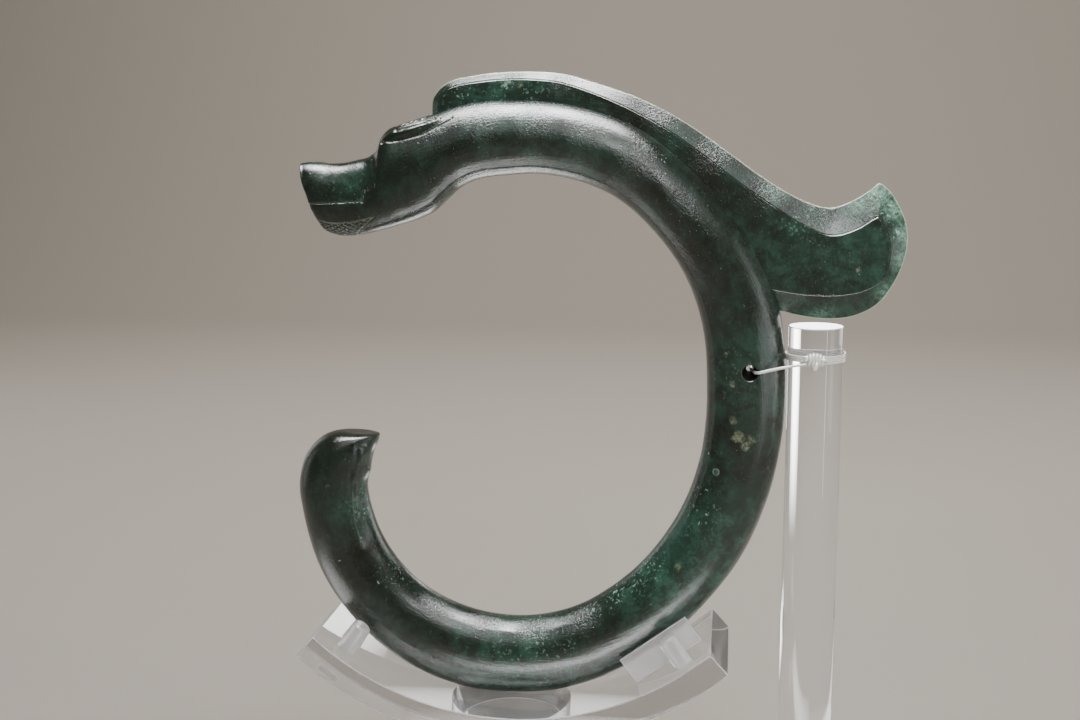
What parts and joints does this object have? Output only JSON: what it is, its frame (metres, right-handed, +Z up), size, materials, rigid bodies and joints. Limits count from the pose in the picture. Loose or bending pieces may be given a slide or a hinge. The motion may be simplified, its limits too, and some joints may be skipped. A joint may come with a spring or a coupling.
{
  "type": "jade dragon",
  "caption": "C-shaped jade dragon ornament with a long flat mane, held upright on a clear stand with a curved saddle, pegs and a support rod.",
  "frame": {"origin": "middle of the base plate's underside", "axes": "+Z up, -X the way the dragon's open side and snout face, +Y away from the viewer of the side with the spacer plate"},
  "size_m": [0.2496, 0.12, 0.313],
  "materials": {
    "jade": "polished",
    "acrylic": "gloss",
    "nylon_line": "satin"
  },
  "bodies": {
    "root": {"jade_dragon": "jade", "saddle": "acrylic", "saddle_pillar": "acrylic", "peg_front_left": "acrylic", "peg_front_right": "acrylic", "peg_back_left": "acrylic", "peg_back_right": "acrylic", "spacer_plate": "acrylic", "support_rod": "acrylic", "base_plate": "acrylic", "tie_thread": "nylon_line"}
  },
  "joints": []
}
